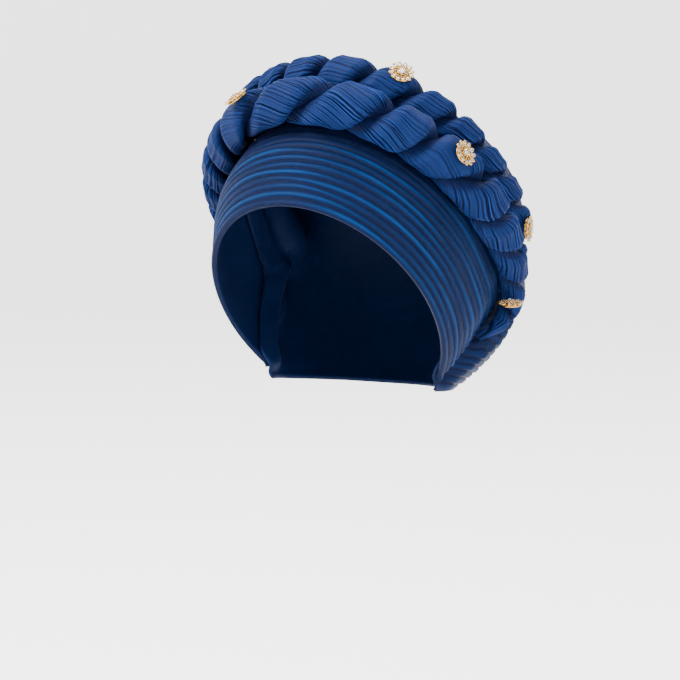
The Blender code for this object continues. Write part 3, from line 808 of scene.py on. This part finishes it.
def add_fine_bag(frames, tree, material):
    """The bag with its soft pleats, gathered under the band's hem."""
    rows = np.linspace(0.0, 1.0, BAG_PLEATS * BAG_ROWS_PER_PLEAT + 1)
    smooth = np.vstack(
        [bag_grid(part, BAG_FINE_COLUMNS, frames) for part in np.array_split(rows, BAG_PARTS)]
    )
    coarse_rows, coarse_crest = ribbed_shares(BAG_PLEATS, 1.0)
    coarse = bag_grid(coarse_rows, BAG_COLUMNS, frames)
    even = np.linspace(0.0, 1.0, BAG_FINE_COLUMNS)
    height = BAG_PLEAT_DEPTH * coarse_crest[:, None] * bag_openness(coarse)
    coarse_columns = np.linspace(0.0, 1.0, BAG_COLUMNS)
    drop = sunk(coarse, height, (coarse_rows, coarse_columns), (rows, even), tree)
    share = rows[:, None]
    turn = 2.0 * even[None, :] - 1.0
    flat_back = read_table(rows, BAG_FLAT_BACK, 1)[:, None]
    flat_back = flat_back * smooth_step((0.32 - np.abs(turn)) / 0.20)
    smooth = smooth - (drop + flat_back)[..., None] * unit(smooth - EYE)
    phase, strength, crest = wandering(share * BAG_PLEATS, share, turn, BAG_FOLDS, 21)
    middle = smooth_step((0.85 - np.abs(turn)) / 0.45)
    small = rib_profile(2.0 * phase + 0.35 * waver(6.0 * turn + 3.0 * share, 24))
    fine = (0.25 + 0.60 * middle) * small
    height = BAG_PLEAT_DEPTH * (0.95 * strength * crest + 0.45 * fine) * bag_openness(smooth)
    outer = raised(smooth, height)
    # Painted shade and highlight: darker in the pleat valleys and lighter on the crests, and
    # painted shade darkens the whole bag.
    shade = 0.76 * np.clip(0.04 + 0.72 * strength * crest + 0.38 * fine, 0.0, 1.0) ** 1.5
    piece = cloth_wall("pleated_bag", outer, smooth, shade, material, ["crown_bag"])


def smooth_outline(around):
    """The outline of a strand as a smooth closed line, with its outward normals."""
    keys = np.array(FINE_OUTLINE)
    total = len(keys)
    place = around * total
    index = np.floor(place).astype(int)
    share = (place - index)[:, None]
    before, here, after, beyond = (keys[(index + step) % total] for step in (-1, 0, 1, 2))
    line = 0.5 * (
        2.0 * here
        + (after - before) * share
        + (2.0 * before - 5.0 * here + 4.0 * after - beyond) * share**2
        + (3.0 * here - before - 3.0 * after + beyond) * share**3
    )
    step = np.roll(line, -1, axis=0) - np.roll(line, 1, axis=0)
    normals = unit(np.stack([-step[:, 1], step[:, 0]], axis=1))
    outward = np.sum(normals * (line - np.array([0.0, 0.4])), axis=1, keepdims=True)
    return line, np.where(outward < 0.0, -normals, normals)


def gathers(around, along, depth, seed):
    """Depth of the gathers of a strand: creases that follow its slanted rows."""
    chance = np.random.default_rng(seed)
    height = np.zeros((len(along), len(around)))
    for number in range(GATHERS):
        start = (number + chance.uniform(-GATHER_JITTER, GATHER_JITTER)) / GATHERS
        middle = start + GATHER_WANDER * waver(along * 34.0 + 9.0 * number, seed + 100 + number)
        width = chance.uniform(*GATHER_WIDTHS)
        width = width * (1.0 + 0.35 * waver(along * 60.0, seed + 200 + number))
        weight = chance.uniform(*GATHER_WEIGHTS)
        weight = weight * (0.60 + 0.75 * waver(along * 58.0, seed + 300 + number))
        weight = np.clip(weight, 0.03, 1.25)[:, None]
        away = (np.mod(around[None, :] - middle[:, None] + 0.5, 1.0) - 0.5) / width[:, None]
        ridge = 0.26 * np.exp(-(((np.abs(away) - 1.9) / 0.9) ** 2))
        height += weight * (ridge - np.exp(-(away**2)))
    return np.clip(height, -1.3, 0.5) * depth[:, None]


def add_fine_strand(name, rope, half_turn, table, seed, material, node):
    """A strand as a padded tube of gathered cloth, over the form of its solid."""
    twist = arc_lengths(rope["spin"][:, None]) / STRAND_TURN
    run = arc_lengths(rope["points"]) / STRAND_STEP
    pace = arc_lengths(np.stack([twist, run], axis=1))
    count = int(math.ceil(pace[-1]))
    place = np.interp(np.linspace(0.0, pace[-1], count + 1), pace, rope["along"])
    values = rope_at(rope, place)
    turn = values["spin"] + half_turn
    outward, forward = values["outward"], values["forward"]
    away = np.cos(turn)[:, None] * outward + np.sin(turn)[:, None] * forward
    beside = np.sin(turn)[:, None] * outward - np.cos(turn)[:, None] * forward
    total = STRAND_POINTS
    around = np.arange(total) / total
    steps = np.arange(OUTLINE_POINTS + 1) / OUTLINE_POINTS
    at = np.mod(around[None, :] + GATHER_SLANT * (place - place[0])[:, None], 1.0)
    line, normals = (
        np.stack([np.interp(at, steps, np.append(column, column[0])) for column in dense.T], -1)
        for dense in smooth_outline(steps[:-1])
    )
    radius = values["radius"]
    depth = read_table(place, table, 1) * GATHER_DEPTH * np.clip(radius / FULL_RADIUS, 0.3, 1.1)
    relief = gathers(around, place, depth, seed)
    relief = relief * smooth_step((line[..., 1] - 0.02) / 0.30)
    section = line * radius[:, None, None] + relief[..., None] * normals
    across, height = section[..., 0], section[..., 1] + STRAND_LIFT
    offset = across[..., None] * beside[:, None, :] + height[..., None] * away[:, None, :]
    lift = np.sum(offset * outward[:, None, :], axis=-1)
    change = pressed(lift, radius[:, None]) - lift
    offset = offset + change[..., None] * outward[:, None, :]
    slant = values["lean"][:, None] * np.sum(offset * forward[:, None, :], axis=-1)
    grid = values["points"][:, None, :] + offset + slant[..., None] * values["tangent"][:, None, :]
    rows = len(place)
    points = grid.reshape(-1, 3)
    first = np.arange(rows - 1)[:, None] * total
    column = np.arange(total)
    faces = quads_between(first + column, first + (column + 1) % total, total)
    faces.append(list(range(total)))
    faces.append(list(range((rows - 1) * total, rows * total)))
    spots = np.stack(np.meshgrid(around * STRAND_ROUND, place)[::-1], axis=-1).reshape(-1, 2)
    # Painted shade: darker in the creases of the gathers and lighter on their ridges, and darker
    # towards the plane where the two strands meet.
    shade = np.clip(0.66 + relief / GATHER_SHADE, 0.0, 1.0)
    shade = shade * (0.25 + 0.75 * smooth_step((line[..., 1] - 0.03) / 0.42))
    piece = finished_piece(
        name, points, faces, spots, shade.ravel(), material, [node]
    )


def shader_nodes(name):
    """A new material with nodes, its Principled shader and its coordinates."""
    material = bpy.data.materials.new(name)
    material.use_nodes = True
    tree = material.node_tree
    place = tree.nodes.new("ShaderNodeTexCoord").outputs
    return material, tree, tree.nodes["Principled BSDF"], place


def set_inputs(tree, node, values):
    """Inputs of a node, each set to a number or colour, or linked to a socket."""
    for place, value in values.items():
        if isinstance(value, (int, float, tuple)):
            node.inputs[place].default_value = value
        else:
            tree.links.new(value, node.inputs[place])


def maths(tree, kind, first, second):
    """A Math node of two inputs, each a socket or a number."""
    node = tree.nodes.new("ShaderNodeMath")
    node.operation = kind
    set_inputs(tree, node, {0: first, 1: second})
    return node.outputs[0]


def blended(tree, share, first, second):
    """A colour between two, each a socket or a colour."""
    node = tree.nodes.new("ShaderNodeMix")
    node.data_type = "RGBA"
    set_inputs(tree, node, {0: share, 6: first, 7: second})
    return node.outputs[2]


def noise(tree, vector, scale, detail, stretch=(1.0, 1.0, 1.0), distortion=0.0, flat=False):
    """A noise pattern, stretched along the axes of its vector."""
    mapping = tree.nodes.new("ShaderNodeMapping")
    set_inputs(tree, mapping, {"Scale": stretch, "Vector": vector})
    node = tree.nodes.new("ShaderNodeTexNoise")
    node.noise_dimensions = "2D" if flat else "3D"
    set_inputs(tree, node, {
        "Scale": scale, "Detail": detail, "Distortion": distortion, "Vector": mapping.outputs[0],
    })
    return node.outputs["Fac"]


def surface(tree, shader, pattern, spread, least, relief, strength, distance):
    """Roughness from a pattern, and bumps from a relief."""
    rough = maths(tree, "MULTIPLY_ADD", pattern, spread)
    set_inputs(tree, rough.node, {2: least})
    bump = tree.nodes.new("ShaderNodeBump")
    set_inputs(tree, bump, {"Strength": strength, "Distance": distance, "Height": relief})
    set_inputs(tree, shader, {"Roughness": rough, "Normal": bump.outputs[0]})


def cloth_material(name, deep, lit, highlight_and_grain_blue, sheen, stretch):
    """Soft satin-faced jersey: streaks and grain, with painted shade in the valleys and painted
    highlights on the crests.
    """
    material, tree, shader, place = shader_nodes(name)
    # The crest attribute carries the painted shade and highlights of each piece.
    painted_shading = tree.nodes.new("ShaderNodeVertexColor")
    painted_shading.layer_name = "crest"
    split = tree.nodes.new("ShaderNodeSeparateColor")
    set_inputs(tree, split, {0: painted_shading.outputs["Color"]})
    crest = split.outputs[0]
    patches = noise(tree, place["Object"], 26.0, 3.0)
    streaks = noise(tree, place["UV"], 1.0, 2.0, stretch, 0.4, True)
    grain = noise(tree, place["Object"], 820.0, 3.0, (1.0, 1.0, 1.0), 1.6)
    ground = blended(tree, patches, deep, lit)
    # Random streaks, then painted shade in the valleys, painted highlights on the crests, and
    # grain.
    for pattern, share, colour in (
        (streaks, 0.45, lit),
        (maths(tree, "SUBTRACT", 1.0, crest), 0.90, PAINTED_VALLEY_SHADE),
        (maths(tree, "POWER", crest, 4.0), 0.56, highlight_and_grain_blue),
        (grain, 0.15, highlight_and_grain_blue),
    ):
        ground = blended(tree, maths(tree, "MULTIPLY", pattern, share), ground, colour)
    set_inputs(tree, shader, {
        "Base Color": ground, "Specular IOR Level": 0.04, "Sheen Weight": 0.008,
        "Sheen Roughness": 0.45, "Sheen Tint": sheen,
    })
    weave = noise(tree, place["Object"], 1.0, 2.0, (1300.0, 1100.0, 700.0), 2.4)
    relief = maths(tree, "ADD", maths(tree, "MULTIPLY", weave, 0.6), grain)
    relief = maths(tree, "ADD", relief, maths(tree, "MULTIPLY", streaks, 1.2))
    surface(tree, shader, grain, 0.20, 0.46, relief, 0.55, 0.00022)
    return material


def mottled(name, scale, detail, first, second):
    """A material whose colour wanders between two, and its parts."""
    material, tree, shader, place = shader_nodes(name)
    pattern = noise(tree, place["Object"], scale, detail)
    set_inputs(tree, shader, {"Base Color": blended(tree, pattern, first, second)})
    return material, tree, shader, pattern


def gold_material():
    """Polished gold with a fine uneven wear."""
    colours = ((0.26, 0.13, 0.02, 1.0), (0.62, 0.37, 0.10, 1.0))
    material, tree, shader, wear = mottled("pale_gold", 900.0, 3.0, *colours)
    set_inputs(tree, shader, {"Metallic": 1.0})
    surface(tree, shader, wear, 0.22, 0.12, wear, 0.2, 0.0001)
    return material


def stone_material():
    """Clear cut glass."""
    colours = ((0.42, 0.44, 0.48, 1.0), (0.62, 0.56, 0.48, 1.0))
    material, tree, shader, _ = mottled("clear_stone", 400.0, 1.0, *colours)
    looks = {"Roughness": 0.03, "IOR": 1.62, "Transmission Weight": 0.85, "Coat Weight": 0.6}
    set_inputs(tree, shader, looks)
    return material


def ring_angles(count, shift=0.0):
    """Even angles round a ring, turned by a share of a step."""
    return (np.arange(count) + shift) * 2.0 * math.pi / count


def spokes(turns, side, other):
    """Directions at some angles from one direction towards another."""
    return np.outer(np.cos(turns), side) + np.outer(np.sin(turns), other)


def tube(mesh, line, radius, sides, closed):
    """A round gold wire through points, added to a mesh."""
    line = np.asarray(line)
    count = len(line)
    if closed:
        along = unit(np.roll(line, -1, axis=0) - np.roll(line, 1, axis=0))
    else:
        along = unit(np.gradient(line, axis=0))
    middle = line.mean(axis=0)
    first = unit(np.cross(along, np.cross(line - middle + 1e-7, along) + 1e-9))
    second = np.cross(along, first)
    turns = ring_angles(sides)
    rings = []
    for place in range(count):
        ring = line[place] + radius * spokes(turns, first[place], second[place])
        rings.append([mesh.verts.new(point) for point in ring])
    for place in range(count if closed else count - 1):
        here, there = rings[place], rings[(place + 1) % count]
        for side in range(sides):
            beside = (side + 1) % sides
            face = mesh.faces.new((here[side], here[beside], there[beside], there[side]))
            face.material_index = GOLD
            face.smooth = True
    if not closed:
        for ring in (rings[0], rings[-1]):
            mesh.faces.new(ring).material_index = GOLD


def ball(mesh, middle, radius):
    """A small gold bead."""
    made = bmesh.ops.create_icosphere(mesh, subdivisions=2, radius=radius)
    for vertex in made["verts"]:
        vertex.co = vertex.co + Vector(middle)
    for face in {face for vertex in made["verts"] for face in vertex.link_faces}:
        face.material_index = GOLD
        face.smooth = True


def stone(mesh, middle, axes, radius, height, sides):
    """A cut stone: a flat table, a slanted crown and a narrower foot."""
    side, other, normal = axes
    rings = []
    for share, level, shift in STONE_RINGS:
        turns = ring_angles(sides, shift)
        ring = middle + level * height * normal + share * radius * spokes(turns, side, other)
        rings.append([mesh.verts.new(point) for point in ring])
    for upper, lower in zip(rings, rings[1:]):
        for place in range(sides):
            beside = (place + 1) % sides
            mesh.faces.new((upper[place], upper[beside], lower[beside])).material_index = GLASS
            mesh.faces.new((upper[place], lower[beside], lower[place])).material_index = GLASS
    for ring in (rings[0], rings[-1]):
        mesh.faces.new(ring).material_index = GLASS


def add_flower(name, row, ropes, tree, gold, glass, node):
    """A flower brooch: wire petals, claws and small stones round a large one."""
    rope, place, angle, face, lean = row
    here = rope_at(ropes[rope], place)
    turn = math.radians(angle)
    away = math.cos(turn) * here["outward"] + math.sin(turn) * here["forward"]
    middle = here["points"] + here["radius"] * away
    normal, side, other = brooch_axes(here, math.radians(face), math.radians(lean))
    count = 2 * BROOCH_PETALS
    turns = np.arange(count) * math.pi / BROOCH_PETALS
    round_it = spokes(turns, side, other)
    rings = []
    for radius, height, depth in BROOCH_RINGS:
        reach = radius * (1.0 - depth * (np.arange(count) % 2))
        rings.append(middle + reach[:, None] * round_it + height * normal)
    plate = [middle + share * BROOCH_RINGS[0][0] * round_it for share in (0.0, 0.35, 0.7)]
    found = seated(np.vstack(rings + plate), away, tree)
    middle = middle + (found[0] - rings[0][0])
    axes = (side, other, normal)
    mesh = bmesh.new()

    def spot(turn_at, radius, level):
        heading = math.cos(turn_at) * side + math.sin(turn_at) * other
        return middle + radius * heading + level * normal

    def wire(at, places, radius):
        tube(mesh, [spot(at, out, up) for out, up in places], radius, 6, False)

    circle = np.linspace(0.0, 2.0 * math.pi, 48, endpoint=False)
    tube(mesh, [spot(a, 0.0062, 0.0006) for a in circle], 0.00050, 8, True)
    tube(mesh, [spot(a, 0.0040, 0.0018) for a in circle], 0.00045, 8, True)
    for at in ring_angles(BROOCH_PETALS):
        loop = []
        for step in np.linspace(0.0, 2.0 * math.pi, 18, endpoint=False):
            out = 0.0058 + 0.0021 * math.cos(step)
            wide = 0.00150 * math.sin(step) * (0.75 + 0.25 * math.cos(step))
            loop.append(spot(at + wide / out, out, 0.0016 + 0.0006 * math.cos(step)))
        tube(mesh, loop, 0.00034, 6, True)
        ball(mesh, spot(at, 0.0077, 0.0021), 0.00062)
        stone(mesh, spot(at, 0.0060, 0.0019), axes, 0.00105, 0.0009, 8)
        between = at + math.pi / BROOCH_PETALS
        wire(between, RIB_PLACES, 0.00035)
        ball(mesh, spot(between, 0.0040, 0.0028), 0.00050)
    for at in ring_angles(CLAWS, 0.5):
        wire(at, CLAW_PLACES, 0.00036)
    tube(mesh, [spot(a, 0.0026, 0.0026) for a in circle[::2]], 0.00040, 8, True)
    stone(mesh, spot(0.0, 0.0, 0.0028), axes, 0.0023, 0.0014, 12)
    bmesh.ops.recalc_face_normals(mesh, faces=mesh.faces)
    data = bpy.data.meshes.new(name)
    mesh.to_mesh(data)
    mesh.free()
    for material in (gold, glass):
        data.materials.append(material)
    piece = added(name, data)
    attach(piece, "root")
    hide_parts(node)


def add_camera():
    """The camera at the photograph's angle."""
    across, ahead = math.sin(VIEW_TURN), -math.cos(VIEW_TURN)
    level = math.cos(VIEW_RISE)
    back = Vector((across * level, ahead * level, math.sin(VIEW_RISE)))
    right = Vector((-ahead, across, 0.0))
    upward = back.cross(right)
    aim = Vector(VIEW_AIM)
    centre = aim - right * AIM_RIGHT - upward * AIM_UP
    data = bpy.data.cameras.new("camera")
    data.sensor_width = SENSOR
    data.lens = LENS
    data.clip_start = 0.1
    data.clip_end = 60.0
    camera = added("camera", data)
    camera.location = aim + back * VIEW_DISTANCE
    camera.rotation_mode = "QUATERNION"
    camera.rotation_quaternion = (centre - camera.location).to_track_quat("-Z", "Y")
    bpy.context.scene.camera = camera


def add_light(name, place, size, power, colour):
    """A soft square light that faces the cap."""
    data = bpy.data.lights.new(name, "AREA")
    data.shape = "SQUARE"
    data.size = size
    data.energy = power
    data.color = colour
    light = added(name, data)
    light.location = place
    heading = Vector(LIT_PLACE) - light.location
    light.rotation_mode = "QUATERNION"
    light.rotation_quaternion = heading.to_track_quat("-Z", "Y")


def add_studio():
    """A pale floor below the cap that sweeps up all round, and soft light."""
    profile = [
        (FLOOR_REACH + FLOOR_BEND * math.sin(a), FLOOR_BEND - FLOOR_BEND * math.cos(a))
        for a in np.linspace(0.0, 0.5 * math.pi, 13)
    ]
    profile.append((FLOOR_REACH + FLOOR_BEND, FLOOR_WALL))
    count = 96
    turns = ring_angles(count)
    points = [(0.0, 0.0, FLOOR_LEVEL)]
    faces = []
    for ring, (radius, height) in enumerate(profile):
        level = FLOOR_LEVEL + height
        points += [(radius * math.cos(a), radius * math.sin(a), level) for a in turns]
        for place in range(count):
            here = 1 + ring * count + place
            there = 1 + ring * count + (place + 1) % count
            if ring == 0:
                faces.append((0, here, there))
            else:
                faces.append((here - count, here, there, there - count))
    data = bpy.data.meshes.new("floor")
    data.from_pydata(points, [], faces)
    data.shade_smooth()
    colours = ((0.94, 0.94, 0.94, 1.0), (0.96, 0.96, 0.96, 1.0))
    material, tree, shader, _ = mottled("pale_floor", 2.0, 2.0, *colours)
    looks = {"Roughness": 0.9, "Emission Color": WHITE, "Emission Strength": 0.45}
    set_inputs(tree, shader, looks)
    data.materials.append(material)
    floor = added("floor", data)
    world = bpy.data.worlds.new("studio")
    world.use_nodes = True
    sky = world.node_tree
    set_inputs(sky, sky.nodes["Background"], {"Color": WHITE, "Strength": 0.70})
    bpy.context.scene.world = world
    add_light("key", (-1.2, -1.7, 1.9), 1.1, 260.0, (1.0, 0.98, 0.96))
    add_light("fill", (1.9, -1.2, 0.6), 1.6, 40.0, (0.95, 0.96, 1.0))
    add_light("top", (0.2, 0.8, 2.2), 1.4, 110.0, (1.0, 1.0, 1.0))


def solids_tree(names):
    """All faces of some solids, for finding what lies near."""
    mesh = bmesh.new()
    for name in names:
        mesh.from_mesh(frame["nodes"][name].data)
    tree = BVHTree.FromBMesh(mesh)
    mesh.free()
    return tree


def dress():
    """Build every piece over its solid."""
    add_camera()
    add_studio()
    cloth = cloth_material("pleated_cloth", *PLEATED_COLOURS, (33.0, 410.0, 1.0))
    rope_cloth = cloth_material("rope_cloth", *ROPE_COLOURS, (410.0, 33.0, 1.0))
    gold = gold_material()
    glass = stone_material()
    front = rope_frame(FRONT_ROPE)
    back = rope_frame(BACK_ROPE)
    squeeze_beside(back, front)
    strands = [(name, letter) for name in ("front", "back") for letter in "ab"]
    strand_nodes = ["%s_rope_strand_%s" % strand for strand in strands]
    tree = solids_tree(strand_nodes)
    add_fine_band([front, back], tree, cloth)
    add_fine_bag([front, back], solids_tree(strand_nodes + ["forehead_band"]), cloth)
    ropes = {"front": front, "back": back}
    tables = {"front": FRONT_GATHERS, "back": BACK_GATHERS}
    for number, (name, letter) in enumerate(strands):
        add_fine_strand(
            "%s_gathered_strand_%s" % (name, letter), ropes[name], math.pi * (number % 2),
            tables[name], GATHER_SEED + 1000 * number, rope_cloth, strand_nodes[number]
        )
    for number, row in enumerate(BROOCHES, start=1):
        add_flower("flower_%d" % number, row, ropes, tree, gold, glass, "brooch_%d" % number)


dress()
